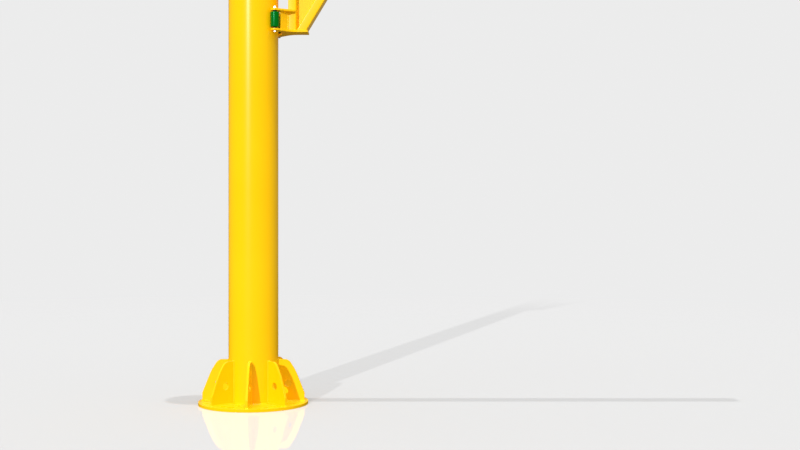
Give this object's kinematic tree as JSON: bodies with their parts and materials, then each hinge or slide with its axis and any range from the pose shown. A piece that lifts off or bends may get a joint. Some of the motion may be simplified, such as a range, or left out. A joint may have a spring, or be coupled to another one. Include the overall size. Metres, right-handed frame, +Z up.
{
  "type": "pillar-mounted slewing jib crane",
  "caption": "Floor-standing jib crane: round tube column on a gusseted flange, with a turning welded I-beam boom held by a post, a diagonal strut and a roller bracket that leans on the column.",
  "frame": {"origin": "on the floor, at the column's axis, in the base flange's underside", "axes": "+Z up along the column, +X along the boom at rest, +Y across the boom"},
  "size_m": [5.2019, 0.94, 4.8983],
  "materials": {
    "yellow_paint": "glossy enamel on welded steel",
    "roller_green": "turned polymer tyre, glossy",
    "collar_black": "blackened steel, satin",
    "zinc_steel": "bright zinc plating",
    "machined_steel": "turned and oiled",
    "buffer_rubber": "matt rubber"
  },
  "bodies": {
    "pillar": {"base_flange": "yellow_paint", "base_gusset_1": "yellow_paint", "base_gusset_2": "yellow_paint", "base_gusset_3": "yellow_paint", "base_gusset_4": "yellow_paint", "base_gusset_5": "yellow_paint", "base_gusset_6": "yellow_paint", "base_gusset_7": "yellow_paint", "base_gusset_8": "yellow_paint", "column_tube": "yellow_paint", "column_head_plate": "yellow_paint", "pivot_spindle": "machined_steel", "spindle_nut": "machined_steel"},
    "jib": {"bearing_housing": "yellow_paint", "head_lower_plate": "yellow_paint", "head_upper_plate": "yellow_paint", "head_rib_1": "yellow_paint", "head_rib_2": "yellow_paint", "head_rib_3": "yellow_paint", "head_rib_4": "yellow_paint", "head_rib_5": "yellow_paint", "housing_cover": "yellow_paint", "boom_web": "yellow_paint", "boom_lower_flange": "yellow_paint", "boom_upper_flange": "yellow_paint", "boom_end_plate": "yellow_paint", "trolley_stops_inner": "yellow_paint", "trolley_stops_outer": "yellow_paint", "stop_buffers_inner": "buffer_rubber", "stop_buffers_outer": "buffer_rubber", "jib_post": "yellow_paint", "jib_strut": "yellow_paint", "haunch_web": "yellow_paint", "bracket_lower_plate": "yellow_paint", "bracket_upper_plate": "yellow_paint", "bracket_side_plate_front": "yellow_paint", "bracket_side_plate_back": "yellow_paint", "roller_pin_front": "zinc_steel", "roller_pin_back": "zinc_steel", "pin_collars_front": "collar_black", "pin_collars_back": "collar_black"},
    "front_roller": {"roller_front": "roller_green"},
    "back_roller": {"roller_back": "roller_green"}
  },
  "joints": [
    {"name": "jib_slew", "type": "hinge", "parent": "pillar", "child": "jib", "pos_m": [0, 0, 4.45], "axis": [0, 0, 1], "continuous": true},
    {"name": "front_roller_spin", "type": "hinge", "parent": "jib", "child": "front_roller", "pos_m": [0.2007, -0.15124, 3.2825], "axis": [0, 0, 1], "continuous": true},
    {"name": "back_roller_spin", "type": "hinge", "parent": "jib", "child": "back_roller", "pos_m": [0.2007, 0.15124, 3.2825], "axis": [0, 0, 1], "continuous": true}
  ],
  "couplings": [
    {"joint": "front_roller_spin", "follows": "jib_slew", "ratio": 5.6053},
    {"joint": "back_roller_spin", "follows": "jib_slew", "ratio": 5.6053}
  ]
}
